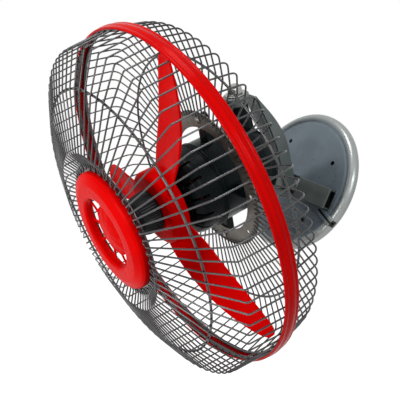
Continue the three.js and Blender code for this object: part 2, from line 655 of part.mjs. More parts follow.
// A blade's surface, by how far out (span) and how far round from trailing to leading edge (chord).
function bladePoint(span, chord) {
  const at = span * (BLADE_EDGES.length - 1);
  const i = Math.min(Math.floor(at), BLADE_EDGES.length - 2);
  const [a, b] = [BLADE_EDGES[i], BLADE_EDGES[i + 1]];
  const mix = (key) => THREE.MathUtils.lerp(a[key], b[key], at - i);
  const angle = THREE.MathUtils.degToRad(THREE.MathUtils.lerp(mix("trail"), mix("lead"), chord));
  const belly = Math.sin(Math.PI * chord) * CAMBER * (1 - span);
  const y = THREE.MathUtils.lerp(mix("trailY"), mix("leadY"), chord) + belly;
  return new THREE.Vector3(mix("r") * Math.cos(angle), y, mix("r") * Math.sin(angle));
}

function blade() {
  const g = new THREE.BoxGeometry(1, 1, 1, BLADE_EDGES.length + 2, 1, 5);
  const p = g.attributes.position;
  for (let i = 0; i < p.count; i++) {
    const side = p.getY(i) * 2;
    const v = bladePoint(p.getX(i) + 0.5, p.getZ(i) + 0.5);
    p.setXYZ(i, v.x, v.y + (side * BLADE_T) / 2, v.z);
  }
  return g;
}

function impeller() {
  const hub = solid(lathe([
    [SHAFT_R + GAP, HUB_FRONT], [HUB_R - 4, HUB_FRONT], [HUB_R, HUB_FRONT + 4], [HUB_R, HUB_BACK],
    [HUB_R - HUB_T, HUB_BACK], [HUB_R - HUB_T, HUB_FRONT + 5], [HUB_R - 5, HUB_FRONT + HUB_T],
    [BOSS_R, HUB_FRONT + HUB_T], [BOSS_R, HUB_BACK], [SHAFT_R + GAP, HUB_BACK],
  ], 32));
  const ribs = ringOf(6, block(BOSS_R - 1, HUB_R - 1, HUB_FRONT + 1, HUB_BACK - 6, -1.2, 1.2), 0.3);
  const blades = ringOf(BLADES, blade(), -BLADE_ANGLE);
  const notch = block(-BOSS_R - 1, BOSS_R + 1, pinY - PIN_R - GAP, HUB_BACK + 1, -PIN_R - GAP, PIN_R + GAP);
  return cut(join([hub, ...ribs, ...blades]), [solid(notch)]);
}
piece(head, "impeller", impeller(), RED);

// The spinner that screws onto the shaft's end, fluted for grip.
function spinner() {
  const back = HUB_FRONT - GAP;
  const g = lathe([
    [SHAFT_R + GAP, back], [KNOB_R - 1, back], [KNOB_R, back - 2], [KNOB_R - 1.5, back - 16],
    [KNOB_R - 5, KNOB_FRONT + 2], [KNOB_R - 8, KNOB_FRONT], [0, KNOB_FRONT],
    [0, SHAFT_FRONT - GAP], [SHAFT_R + GAP, SHAFT_FRONT - GAP],
  ], 2 * KNOB_RIBS);
  const p = g.attributes.position;
  for (let i = 0; i < p.count; i++) {
    const r = Math.hypot(p.getX(i), p.getZ(i));
    if (r < KNOB_R - 6) continue;
    const turn = Math.round((Math.atan2(p.getZ(i), p.getX(i)) / Math.PI) * KNOB_RIBS);
    const flute = turn % 2 ? 1 - FLUTE / r : 1;
    p.setXYZ(i, p.getX(i) * flute, p.getY(i), p.getZ(i) * flute);
  }
  return solid(g);
}
piece(head, "spinner_knob", spinner(), BLACK);

export default fan;
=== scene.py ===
# %% [markdown]
# # A wall fan, from plain solids to a picture
# The solids of a wall fan are already made and fixed: a round wall plate, an arm that tilts on it, and a
# caged head that hangs under the arm. This notebook gives them the fine shapes and finishes of the real
# fan. Everything is in metres, in the solids' own frame: +Y goes into the wall, +Z is up, +X is to the
# right.

# %% Load the fixed solids
import math
import bpy
import bmesh
from mathutils import Matrix, Vector


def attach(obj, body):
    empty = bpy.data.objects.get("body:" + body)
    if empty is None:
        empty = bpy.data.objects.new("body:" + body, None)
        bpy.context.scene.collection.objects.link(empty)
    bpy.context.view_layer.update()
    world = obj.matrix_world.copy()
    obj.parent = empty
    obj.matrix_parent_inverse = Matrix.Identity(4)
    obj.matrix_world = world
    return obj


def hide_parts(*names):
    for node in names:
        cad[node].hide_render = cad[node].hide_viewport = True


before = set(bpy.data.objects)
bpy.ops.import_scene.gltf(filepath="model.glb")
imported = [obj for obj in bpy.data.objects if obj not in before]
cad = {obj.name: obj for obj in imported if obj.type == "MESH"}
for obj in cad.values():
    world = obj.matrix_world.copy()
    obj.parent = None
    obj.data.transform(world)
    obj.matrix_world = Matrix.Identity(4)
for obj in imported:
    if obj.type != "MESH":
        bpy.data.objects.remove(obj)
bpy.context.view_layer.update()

MM = 0.001


def shift(x, y, z):
    """A move given in millimetres."""
    return Matrix.Translation((x * MM, y * MM, z * MM))


# %% [markdown]
# ## The head's own frame
# The fan's head is drawn level, with its axis along Y and y = 0 at the front edge of the red band, and is
# then turned down by 43 degrees on the tilt bolt. One matrix does that turn, so each piece below can be
# drawn level, as a designer would draw it, and be carried into place at the end.

# %% Where the head sits
TILT = math.radians(43)
HINGE_Y, HINGE_Z = 185.3, -65.3  # the tilt bolt's axis, in the head's frame
PIVOT_Y = 125  # the swivel's axis
BOLT = shift(0, -11.2, -8)  # the tilt bolt, in the solids' frame
HEAD = BOLT @ Matrix.Rotation(TILT, 4, "X") @ shift(0, -HINGE_Y, -HINGE_Z)
LEVEL = Matrix.Identity(4)
UP = Matrix.Rotation(math.pi / 2, 4, "X")  # turns a lathe's Y axis up to Z
ACROSS = Matrix.Rotation(-math.pi / 2, 4, "Z")  # and across to X
print("band's front edge at", [round(c / MM) for c in HEAD.translation], "mm")

# %% [markdown]
# ## The camera
# The photograph looks at the fan from the right and a little above its middle, with the camera rolled by
# about 23 degrees. Its place and its three directions were found by fitting the band, the guard's hoops,
# the badge and the plate, which are all circles of known place, to their ellipses.

# %% Camera
PHOTO_WIDTH = 400  # pixels
FOCAL_PIXELS = 758.1
SENSOR = 36  # mm
cam = bpy.data.objects.new("camera", bpy.data.cameras.new("camera"))
bpy.context.scene.collection.objects.link(cam)
right = Vector((0.5534, 0.7349, 0.3922)).normalized()
back = Vector((0.7818, -0.6208, 0.0599))
back = (back - back.dot(right) * right).normalized()
turn = Matrix((right, back.cross(right), back)).transposed().to_4x4()
cam.matrix_world = Matrix.Translation(Vector((722.2, -719.9, -15.0)) * MM) @ turn
cam.data.sensor_width = SENSOR
cam.data.lens = SENSOR * FOCAL_PIXELS / PHOTO_WIDTH
cam.data.clip_start = 0.05
bpy.context.scene.camera = cam
print("lens", round(cam.data.lens, 1), "mm")

# %% [markdown]
# ## Materials
# Every finish on this fan is paint, plating or moulded plastic, so one recipe serves them all: a base
# colour that drifts a little from place to place, gloss that drifts with it, and a fine bump. What differs
# is the grain: orange peel in paint, faint flow marks in plastic, coarse drops on the castings. The plate
# has one thing more: a painted highlight, its rolled rim painted lighter than its face for the light the
# rim catches, fading in with distance from the plate's axis. The noise reads Object coordinates, which are
# metres here, so a scale of 400 is a grain of about 2.5 mm.

# %% A recipe for a painted, plated or moulded finish
DUST_COLOUR = (0.32, 0.31, 0.29, 1)


def finish(name, colour, rough, metal=0.0, grain=400.0, bump=0.05, drift=0.12, shine=0.5, dust=0.0):
    """A finish: colour is linear RGB, grain the noise scale per metre, drift how far the colour wanders."""
    mat = bpy.data.materials.new(name)
    mat.use_nodes = True
    tree = mat.node_tree
    shader = tree.nodes["Principled BSDF"]
    shader.inputs["Metallic"].default_value = metal
    shader.inputs["Specular IOR Level"].default_value = shine
    where = tree.nodes.new("ShaderNodeTexCoord")

    def noise(scale, detail):
        n = tree.nodes.new("ShaderNodeTexNoise")
        n.inputs["Scale"].default_value = scale
        n.inputs["Detail"].default_value = detail
        tree.links.new(where.outputs["Object"], n.inputs["Vector"])
        return n.outputs["Fac"]

    def ramp(fac, low, high, first, last):
        r = tree.nodes.new("ShaderNodeValToRGB")
        ends = r.color_ramp.elements
        ends[0].position, ends[1].position = low, high
        ends[0].color, ends[1].color = (*first, 1), (*last, 1)
        tree.links.new(fac, r.inputs["Fac"])
        return r.outputs["Color"]

    broad = noise(28, 3)
    dark = [c * (1 - drift) for c in colour]
    light = [min(1, c * (1 + drift)) for c in colour]
    base = ramp(broad, 0.35, 0.65, dark, light)
    if dust:
        mix = tree.nodes.new("ShaderNodeMix")
        mix.data_type = "RGBA"
        mix.inputs["B"].default_value = DUST_COLOUR
        spots = ramp(noise(grain * 0.4, 6), 0.5, 0.8, (0, 0, 0), (dust, dust, dust))
        tree.links.new(spots, mix.inputs["Factor"])
        tree.links.new(base, mix.inputs["A"])
        base = mix.outputs["Result"]
    tree.links.new(base, shader.inputs["Base Color"])
    gloss = ramp(noise(90, 4), 0.3, 0.7, [rough * 0.85] * 3, [min(1, rough * 1.2)] * 3)
    tree.links.new(gloss, shader.inputs["Roughness"])
    relief = tree.nodes.new("ShaderNodeBump")
    relief.inputs["Strength"].default_value = bump
    relief.inputs["Distance"].default_value = 0.0004
    tree.links.new(noise(grain, 4), relief.inputs["Height"])
    tree.links.new(relief.outputs["Normal"], shader.inputs["Normal"])
    return mat


RED_PLASTIC = finish(
    "red_badge_plastic", (0.76, 0.001, 0.001), 0.3, grain=900, bump=0.03, drift=0.06, shine=0.015)
RED_BLADE = finish(
    "red_blade_plastic", (0.80, 0.0, 0.0), 0.3, grain=900, bump=0.03, drift=0.06, shine=0.008)
RED_BAND = finish(
    "red_band_paint", (0.56, 0.001, 0.001), 0.2, grain=1100, bump=0.03, drift=0.05, shine=0.03)
DARK_WIRE = finish(
    "dark_wire_plating", (0.07, 0.07, 0.072), 0.22, metal=0.7, grain=1500, bump=0.04, drift=0.3)
HAMMER = finish(
    "grey_green_casting_paint", (0.12, 0.145, 0.14), 0.4, metal=0.3, grain=260, bump=0.25, dust=0.08)
# The arm's casting paint made darker for the bracket: painted shade, for the shade it sits in under the
# arm.
SHADED_BRACKET_PAINT = finish(
    "bracket_paint_painted_shade", (0.075, 0.088, 0.085), 0.4, metal=0.3, grain=260, bump=0.2, dust=0.06)
PLATE = finish(
    "blue_grey_plate_paint", (0.125, 0.16, 0.185), 0.3, metal=0.45, grain=500, bump=0.1, dust=0.05)
MOTOR = finish(
    "dark_motor_enamel", (0.003, 0.006, 0.007), 0.26, grain=350, bump=0.35, shine=0.07, dust=0.01)
KNOB = finish("black_knob_plastic", (0.008, 0.009, 0.011), 0.3, grain=900, bump=0.06, shine=0.12)
ZINC = finish("zinc_plate", (0.34, 0.34, 0.33), 0.32, metal=0.95, grain=700, bump=0.1, dust=0.15)
DISC = finish(
    "bare_disc_steel", (0.14, 0.13, 0.11), 0.42, metal=0.7, grain=300, bump=0.2, drift=0.3, dust=0.3)
CORE = finish("lamination_steel", (0.16, 0.16, 0.17), 0.55, metal=0.8, grain=2500, bump=0.3)
COPPER = finish("varnished_copper", (0.45, 0.16, 0.06), 0.4, metal=0.8, grain=1800, bump=0.5)
NYLON = finish("moulded_nylon", (0.72, 0.70, 0.64), 0.5, grain=900, bump=0.08)
RUBBER = finish("grommet_rubber", (0.012, 0.012, 0.012), 0.75, grain=900, bump=0.2)

# %% The plate's rim, painted lighter as a highlight
RIM_FROM, RIM_FULL = 0.083, 0.087  # metres from the plate's axis


def painted_rim_highlight(mat, inner, outer, colour):
    """Fades a finish into a lighter colour between two distances from the Y axis, in metres: a painted
    highlight.
    """
    tree = mat.node_tree
    shader = tree.nodes["Principled BSDF"]
    link, new = tree.links.new, tree.nodes.new
    where, fade, mix = new("ShaderNodeTexCoord"), new("ShaderNodeMapRange"), new("ShaderNodeMix")
    flat, far = new("ShaderNodeVectorMath"), new("ShaderNodeVectorMath")
    flat.operation, far.operation = "MULTIPLY", "LENGTH"
    flat.inputs[1].default_value = (1, 0, 1)
    fade.inputs["From Min"].default_value, fade.inputs["From Max"].default_value = inner, outer
    mix.data_type = "RGBA"
    mix.inputs["B"].default_value = (*colour, 1)
    base = shader.inputs["Base Color"].links[0].from_socket
    link(where.outputs["Object"], flat.inputs[0])
    link(flat.outputs[0], far.inputs[0])
    link(far.outputs["Value"], fade.inputs["Value"])
    link(fade.outputs[0], mix.inputs["Factor"])
    link(base, mix.inputs["A"])
    link(mix.outputs["Result"], shader.inputs["Base Color"])


# The rolled rim is painted lighter than the face: a painted highlight for the light the rim catches.
painted_rim_highlight(PLATE, RIM_FROM, RIM_FULL, (0.31, 0.335, 0.33))
print(len(bpy.data.materials), "materials")

# %% [markdown]
# ## Shaping helpers
# Most of a fan is turned or pressed round an axis, so the first helper is a lathe. It takes a closed
# outline of radius and length in millimetres, rounds its corners as a press or a mould does, and spins it
# about Y. The second helper hands a finished piece over: it sets the material and the smooth shading,
# hangs the piece on the body that carries it, and hides the plain solids it stands for.

# %% Lathe with rounded corners
def rounded(outline, radius, steps=4):
    """The closed outline with each corner replaced by a curve that starts up to that far from it."""
    made = []
    count = len(outline)
    for i, corner in enumerate(outline):
        here = Vector(corner)
        before, after = Vector(outline[i - 1]) - here, Vector(outline[(i + 1) % count]) - here
        if here.x == 0 or min(before.length, after.length) < 1e-6:
            made.append(here)
            continue
        reach = min(radius, before.length * 0.45, after.length * 0.45)
        a, b = here + before.normalized() * reach, here + after.normalized() * reach
        for k in range(steps + 1):
            t = k / steps
            made.append(a * (1 - t) ** 2 + here * 2 * t * (1 - t) + b * t * t)
    return made


def lathed(name, outline, segments=96, place=LEVEL, corner=0.0, start=0.0, sweep=None):
    """Spins a closed outline of (radius, y) about Y. A sweep below a full turn gets flat ends."""
    points = rounded(outline, corner) if corner else [Vector(p) for p in outline]
    whole = sweep is None
    turns = segments if whole else segments + 1
    bm = bmesh.new()
    rings = []
    for i in range(turns):
        a = start + (2 * math.pi if whole else sweep) * i / segments
        rings.append([
            bm.verts.new((p.x * math.cos(a) * MM, p.y * MM, p.x * math.sin(a) * MM))
            for p in points
        ])
    count = len(points)
    for i in range(segments):
        a, b = rings[i], rings[(i + 1) % turns]
        for k in range(count):
            bm.faces.new((a[k], a[(k + 1) % count], b[(k + 1) % count], b[k]))
    if not whole:
        bm.faces.new(rings[0])
        bm.faces.new(rings[-1][::-1])
    bmesh.ops.remove_doubles(bm, verts=bm.verts, dist=1e-7)
    bmesh.ops.dissolve_degenerate(bm, edges=bm.edges, dist=1e-8)
    bmesh.ops.recalc_face_normals(bm, faces=bm.faces)
    bm.transform(place)
    return thing(name, bm)


def thing(name, bm):
    """A new object from a bmesh, at the origin."""
    mesh = bpy.data.meshes.new(name)
    bm.to_mesh(mesh)
    bm.free()
    obj = bpy.data.objects.new(name, mesh)
    bpy.context.scene.collection.objects.link(obj)
    return obj


def disc_outline(r0, r1, y0, y1):
    return [(r0, y0), (r1, y0), (r1, y1), (r0, y1)]


def hand_over(obj, material, slot, body, *nodes, sharp=35):
    """Finish, shading, carrying body and the solids that this piece stands for. The slot argument is not
    used.
    """
    obj.data.materials.clear()
    obj.data.materials.append(material)
    obj.data.polygons.foreach_set("material_index", [0] * len(obj.data.polygons))
    obj.data.shade_smooth()
    obj.data.set_sharp_from_angle(angle=math.radians(sharp))
    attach(obj, body)
    if nodes:
        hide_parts(*nodes)
    return obj


# %% Applying modifiers, joining and cutting
def applied(obj):
    """The object with its modifiers turned into plain mesh."""
    graph = bpy.context.evaluated_depsgraph_get()
    mesh = bpy.data.meshes.new_from_object(obj.evaluated_get(graph))
    obj.modifiers.clear()
    obj.data = mesh
    return obj


def joined(first, *others):
    """Several meshes as one object: first keeps its name."""
    bm = bmesh.new()
    for o in (first, *others):
        bm.from_mesh(o.data)
    bm.to_mesh(first.data)
    bm.free()
    for o in others:
        bpy.data.objects.remove(o)
    return first


def cut(body, *tools, how="DIFFERENCE"):
    """Cuts the tools out of a body, or joins them to it (UNION), or keeps what they share (INTERSECT)."""
    for tool in tools:
        m = body.modifiers.new("cut", "BOOLEAN")
        m.operation = how
        m.solver = "EXACT"
        m.object = tool
        applied(body)
        bpy.data.objects.remove(tool)
    return body


def block(name, lo, hi, place=LEVEL, bevel=0.0):
    """A box between two corners in mm, with rolled edges."""
    bm = bmesh.new()
    bmesh.ops.create_cube(bm, size=1)
    size = [h - l for l, h in zip(lo, hi)]
    middle = [(h + l) / 2 for l, h in zip(lo, hi)]
    scale = Matrix.Diagonal([s * MM for s in size] + [1])
    bm.transform(Matrix.Translation(Vector(middle) * MM) @ scale)
    if bevel:
        every = bm.edges[:] + bm.verts[:]
        bmesh.ops.bevel(bm, geom=every, offset=bevel * MM, segments=3, affect="EDGES")
    bm.transform(place)
    return thing(name, bm)


# %% [markdown]
# ## Copies around an axis
# A guard is one bent wire, eighty times. A Geometry Nodes tree says just that: it sweeps a round section
# along the bent line it is given, and puts copies of the result round the Y axis. Changing Count changes
# the whole guard. A second, smaller tree copies any mesh round the axis, for screw holes, lugs, ribs,
# bridges, bosses and slots. Both trees end in Realize Instances and Set Material, so what leaves them is an
# ordinary mesh.

# %% The two trees
def tree_with(name, sockets):
    tree = bpy.data.node_groups.new(name, "GeometryNodeTree")
    shape = "NodeSocketGeometry"
    tree.interface.new_socket("Geometry", in_out="INPUT", socket_type=shape)
    for label, kind, value in sockets:
        s = tree.interface.new_socket(label, in_out="INPUT", socket_type=kind)
        if value is not None:
            s.default_value = value
    tree.interface.new_socket("Geometry", in_out="OUTPUT", socket_type=shape)
    return tree, tree.nodes.new("NodeGroupInput"), tree.nodes.new("NodeGroupOutput")


def add_copies(tree, given, shape):
    """Adds the nodes that copy a shape Count times round Y, from First."""
    link, new = tree.links.new, tree.nodes.new
    points, index = new("GeometryNodePoints"), new("GeometryNodeInputIndex")
    copies = new("GeometryNodeInstanceOnPoints")
    link(given.outputs["Count"], points.inputs["Count"])
    share, angle, sum_ = new("ShaderNodeMath"), new("ShaderNodeMath"), new("ShaderNodeMath")
    share.operation, angle.operation, sum_.operation = "DIVIDE", "MULTIPLY", "ADD"
    link(index.outputs[0], share.inputs[0])
    link(given.outputs["Count"], share.inputs[1])
    link(share.outputs[0], angle.inputs[0])
    angle.inputs[1].default_value = -2 * math.pi
    link(angle.outputs[0], sum_.inputs[0])
    link(given.outputs["First"], sum_.inputs[1])
    turn_ = new("ShaderNodeCombineXYZ")
    link(sum_.outputs[0], turn_.inputs["Y"])
    link(points.outputs[0], copies.inputs["Points"])
    link(shape, copies.inputs["Instance"])
    link(turn_.outputs[0], copies.inputs["Rotation"])
    real, paint = new("GeometryNodeRealizeInstances"), new("GeometryNodeSetMaterial")
    link(copies.outputs[0], real.inputs[0])
    link(real.outputs[0], paint.inputs["Geometry"])
    link(given.outputs["Material"], paint.inputs["Material"])
    return paint.outputs[0]


AROUND, given, out = tree_with("copies_around_axis", [
    ("Count", "NodeSocketInt", 4),
    ("First", "NodeSocketFloat", 0.0),
    ("Material", "NodeSocketMaterial", None),
])
AROUND.links.new(add_copies(AROUND, given, given.outputs["Geometry"]), out.inputs[0])

GUARD, given, out = tree_with("bent_wires_around_axis", [
    ("Count", "NodeSocketInt", 80),
    ("First", "NodeSocketFloat", 0.0),
    ("Wire Radius", "NodeSocketFloat", 0.0013),
    ("Bend Radius", "NodeSocketFloat", 0.008),
    ("Material", "NodeSocketMaterial", None),
])
line, bend = GUARD.nodes.new("GeometryNodeMeshToCurve"), GUARD.nodes.new("GeometryNodeFilletCurve")
bend.mode = "POLY"
bend.inputs["Count"].default_value = 5
bend.inputs["Limit Radius"].default_value = True
section = GUARD.nodes.new("GeometryNodeCurvePrimitiveCircle")
pipe = GUARD.nodes.new("GeometryNodeCurveToMesh")
section.inputs["Resolution"].default_value = 8
pipe.inputs["Fill Caps"].default_value = True
GUARD.links.new(given.outputs["Geometry"], line.inputs["Mesh"])
GUARD.links.new(line.outputs[0], bend.inputs["Curve"])
GUARD.links.new(given.outputs["Bend Radius"], bend.inputs["Radius"])
GUARD.links.new(given.outputs["Wire Radius"], section.inputs["Radius"])
GUARD.links.new(bend.outputs[0], pipe.inputs["Curve"])
GUARD.links.new(section.outputs[0], pipe.inputs["Profile Curve"])
GUARD.links.new(add_copies(GUARD, given, pipe.outputs[0]), out.inputs[0])


def through(obj, tree, place=LEVEL, **values):
    """Runs a tree on an object, with its inputs given by name, and leaves plain mesh in place."""
    m = obj.modifiers.new("tree", "NODES")
    m.node_group = tree
    for item in tree.interface.items_tree:
        if item.in_out == "INPUT" and item.name in values:
            m[item.identifier] = values[item.name]
    applied(obj)
    obj.data.transform(place)
    return obj


def copies(obj, count, first=0.0):
    """The object count times round Y, from the angle first."""
    return through(obj, AROUND, Count=count, First=first)


print("trees:", [t.name for t in bpy.data.node_groups])

# %% [markdown]
# ## The guard's wires
# Each front wire is a hairpin: it leaves the hoop at the rim, turns over the shoulder, climbs the dome,
# dips behind the badge, makes a small loop and goes back. The rear wires are single, from the rim's hoop
# round the corner to the pressed disc. Both lines are drawn once, in millimetres, in the plane of the
# axis.

# %% Bent wires
WIRES = 80
PITCH = 2 * math.pi / WIRES
WIRE_RADIUS = 0.98 * MM
FRONT_BEND, REAR_BEND = 4 * MM, 14 * MM
FRONT_LEG = [(209.2, 3.5), (205.6, -40.9), (165.5, -61), (99, -82), (84, -74.4)]
REAR_LINE = [(209.9, 14.1), (201.7, 56.1), (160.5, 66.7), (84.1, 65.1)]


def polyline(name, points):
    bm = bmesh.new()
    verts = [bm.verts.new(Vector(p) * MM) for p in points]
    for a, b in zip(verts, verts[1:]):
        bm.edges.new((a, b))
    return thing(name, bm)


def on_ray(r, y, angle):
    return (r * math.cos(angle), y, r * math.sin(angle))


hairpin = [on_ray(r, y, -PITCH / 2) for r, y in FRONT_LEG]
hairpin += [on_ray(76.2, -74.4, -PITCH * 0.42), on_ray(76.2, -74.4, PITCH * 0.42)]
hairpin += [on_ray(r, y, PITCH / 2) for r, y in FRONT_LEG[::-1]]
rear_line = [on_ray(r, y, 0) for r, y in REAR_LINE]
front_wires = through(
    polyline("front_wires", hairpin), GUARD, HEAD, Count=WIRES // 2, Material=DARK_WIRE,
    **{"Bend Radius": FRONT_BEND, "Wire Radius": WIRE_RADIUS})
rear_wires = through(
    polyline("rear_wires", rear_line), GUARD, HEAD, Count=WIRES, Material=DARK_WIRE,
    **{"Bend Radius": REAR_BEND, "Wire Radius": WIRE_RADIUS})
print("front wires", len(front_wires.data.polygons), "faces, rear wires", len(rear_wires.data.polygons))


# %% Hoops
def hoop(name, r, y, section):
    angles = [k * math.pi / 6 for k in range(12)]
    ring = [(r + section * math.cos(a), y + section * math.sin(a)) for a in angles]
    return lathed(name, ring, 160, HEAD)


def wire_piece(obj, node):
    hand_over(obj, DARK_WIRE, "dark_wire", "fan_head", node, sharp=60)


RIM_R, RIM_WIRE, MID_WIRE = 210.4, 2.0, 1.4
wire_piece(front_wires, "front_guard")
wire_piece(rear_wires, "rear_guard")
wire_piece(hoop("front_rim_hoop", RIM_R, 3.5, RIM_WIRE), "front_guard")
wire_piece(hoop("rear_rim_hoop", RIM_R, 14.1, RIM_WIRE), "rear_guard")
wire_piece(hoop("front_mid_hoop", 165.5, -58.6, MID_WIRE), "front_cross_hoop")
wire_piece(hoop("rear_mid_hoop", 160.5, 64.3, MID_WIRE), "rear_cross_hoop")

# %% [markdown]
# ## The red band and the pressed disc
# The band is a rolled channel, a little crowned: two lips turn in over the rim hoops. It stops at both
# sides of a split under the fan, where two ears take the clamping screw. The band is drawn as one lathe
# that stops short of a full turn, and the ears are two small rolled blocks. The disc behind the motor is a
# flat washer, with the ends of the rear wires welded to it in front.

# %% Band, ears, screw and nut
BAND = [
    (211, 0), (213.2, 0), (214, 1), (214.1, 2.6), (213.7, 4), (214.8, 7), (215, 8.8),
    (214.8, 10.6), (213.7, 13.6), (214.1, 15), (214, 16.6), (213.2, 17.6), (211, 17.6),
    (211, 16.4), (212.6, 16.4), (213.2, 8.8), (212.6, 1.2), (211, 1.2),
]
CLAMP_LINE = HEAD @ shift(0, 8.8, -220) @ ACROSS
BAND_R, HALF_GAP, EAR = 214, 1.5, 3  # the band's radius, half its split's width, an ear's thickness
M4_HOLE = 2.3
half_split = math.asin(HALF_GAP / BAND_R)
band = lathed("band", BAND, 180, HEAD, 0.5, -math.pi / 2 + half_split, 2 * math.pi - 2 * half_split)
for side, x in ((-1, -HALF_GAP - EAR), (1, HALF_GAP)):
    ear = block(f"ear_{side}", (x, 3, -223.6), (x + EAR, 14.6, -213.4), HEAD, 0.8)
    bore = lathed("bore", disc_outline(0, M4_HOLE, -10, 10), 24, CLAMP_LINE)
    joined(band, cut(ear, bore))
hand_over(band, RED_BAND, "red_band", "fan_head", "guard_ring")
print("band", len(band.data.polygons), "faces")


# %% Annular disc with screw holes
def holed(obj, count, radius, hole, y0, y1, first=0.0):
    """Drills count holes along Y, on a circle."""
    drill = lathed("drill", disc_outline(0, hole, y0, y1), 20, shift(radius, 0, 0))
    return cut(obj, copies(drill, count, first))


DISC_SCREWS, DISC_CIRCLE = 4, 79
disc = lathed("disc", disc_outline(68.4, 89.6, 66.8, 68.3), 96, LEVEL, 0.4)
holed(disc, DISC_SCREWS, DISC_CIRCLE, M4_HOLE, 60, 75)
holed(disc, DISC_SCREWS, DISC_CIRCLE, 2.6, 60, 75, math.pi / 4)
disc.data.transform(HEAD)
hand_over(disc, DISC, "warm_grey_steel", "fan_head", "guard_disc")

# %% [markdown]
# ## The motor
# Both halves of the motor are castings, painted dark. The front bell is slotted for cooling air, and the
# joint between the halves is a narrow flange. The rear shell closes in a dome, carries four lugs for the
# disc, and has the post that the arm's eye sits on.

# %% Motor halves
BELL = [
    (6.6, 6), (18.5, 6), (20.5, 9), (32, 9.5), (43, 13), (49.5, 19), (52, 26), (52, 47.4),
    (53.6, 47.4), (53.6, 50), (49.4, 50), (49.4, 26.8), (47, 21), (41, 16), (32, 12.1),
    (20.5, 11.6), (20.5, 21), (16.3, 21), (16.3, 9.7), (6.6, 9.7),
]
VENTS = 14
bell = lathed("bell", BELL, 112, LEVEL, 1.2)
slot = block("slot", (36, -4, -1.8), (62, 31, 1.8))
cut(bell, copies(slot, VENTS, math.pi / VENTS))
bell.data.transform(HEAD)
hand_over(bell, MOTOR, "black_paint", "fan_head", "motor_front_bell")

SHELL = [
    (49.4, 50.3), (53.6, 50.3), (53.6, 52.9), (52, 53.4), (52, 110), (50.6, 121), (47, 130),
    (41, 137.5), (33, 143), (20, 146.4), (0, 147), (0, 142), (16.3, 142), (16.3, 127),
    (20.5, 127), (20.5, 143.2), (31, 140), (38, 135), (44, 128), (47.6, 119), (49.4, 110),
]
shell = lathed("shell", SHELL, 112, LEVEL, 1.5)


def lug(name):
    """One of the lugs that carry the disc: a tapering plate with a round end."""
    angles = [-math.pi / 2 + k * math.pi / 12 for k in range(13)]
    tip = [(80 + 6 * math.cos(a), 6 * math.sin(a)) for a in angles]
    outline = [(50.2, -9), *tip, (50.2, 9)]
    bm = bmesh.new()
    low = [bm.verts.new((x * MM, 68.6 * MM, z * MM)) for x, z in outline]
    face = bm.faces.new(low)
    grown = bmesh.ops.extrude_face_region(bm, geom=[face])["geom"]
    far_end = [v for v in grown if isinstance(v, bmesh.types.BMVert)]
    bmesh.ops.translate(bm, verts=far_end, vec=(0, 10 * MM, 0))
    bmesh.ops.recalc_face_normals(bm, faces=bm.faces)
    return thing(name, bm)


POST = [(5.3, 57), (5.3, 76.7), (12, 76.7), (14, 42), (10, 40), (0, 40), (0, 57)]
lugs = copies(lug("lug"), DISC_SCREWS)
holed(lugs, DISC_SCREWS, DISC_CIRCLE, M4_HOLE, 60, 76.6)
post = lathed("post", POST, 48, shift(0, PIVOT_Y, 0) @ UP, 0.8)
rear = joined(shell, lugs, post)
rear.data.transform(HEAD)
hand_over(rear, MOTOR, "black_paint", "fan_head", "motor_rear_shell")
print("motor halves", len(bell.data.polygons), len(rear.data.polygons), "faces")

# %% [markdown]
# ## The badge
# The badge is one moulding: a flat ring with a slanted shoulder, a deep well, and a dished cap that hangs
# in the well on ten thin bridges, so light shows between them.

# %% Badge and the ring behind it
FACE = [
    (46.2, -75.6), (43.6, -75.6), (43.6, -83.6), (45.4, -85.6), (48, -85.9), (60.5, -85.9),
    (62, -85.5), (71, -82), (73.4, -79), (73.5, -73), (71.3, -73), (71.2, -78), (69.6, -79.8),
    (63, -82.7), (48, -83), (46.2, -81.6),
]
badge = lathed("badge_face", FACE, 128, LEVEL, 0.7)
CAP = [
    (0, -83), (8, -82.8), (16, -81.7), (23, -79.8), (28, -78.2), (31, -76.9), (31, -75.4),
    (28, -75.6), (23, -77.4), (16, -79.4), (0, -80.8),
]
CAP_R, BRIDGES, DIMPLE = 31, 10, 0.9
cap = lathed("badge_cap", CAP, 120, LEVEL, 0.8)
for v in cap.data.vertices:  # shallow dimples, one between each pair of bridges
    share = math.hypot(v.co.x, v.co.z) / (CAP_R * MM)
    v.co.y += DIMPLE * MM * share ** 2 * (1 - math.cos(BRIDGES * math.atan2(v.co.z, v.co.x))) / 2
bridges = copies(block("bridge", (29.5, -77.4, -1.4), (45, -75.2, 1.4), LEVEL, 0.5), BRIDGES)
BOSS = [(1.8, -80), (1.8, -73), (4, -73), (4, -83.5), (0, -83.5), (0, -80)]
BADGE_SCREWS, BADGE_CIRCLE, BADGE_FIRST = 3, 60, -math.pi / 2
boss = lathed("boss", BOSS, 32, shift(BADGE_CIRCLE, 0, 0), 0.4)
joined(badge, cap, bridges, copies(boss, BADGE_SCREWS, BADGE_FIRST))
badge.data.transform(HEAD)
hand_over(badge, RED_PLASTIC, "red_plastic", "fan_head", "badge")

nose = lathed("nose", disc_outline(52, 84, -72.7, -71.3), 96, LEVEL, 0.4)
holed(nose, BADGE_SCREWS, BADGE_CIRCLE, 1.8, -80, -60, BADGE_FIRST)
nose.data.transform(HEAD)
hand_over(nose, DARK_WIRE, "dark_wire", "fan_head", "nose_ring")
print("badge", len(badge.data.polygons), "faces")

# %% [markdown]
# ## The impeller
# Three wide blades grow out of a short hub. A blade's surface is a table of stations, each with the angle
# and depth of its two edges. The table is read as a smooth curve through its rows, the corners of the
# outline are rounded by drawing the edges in at the tip, and Solidify gives the sheet its thickness.

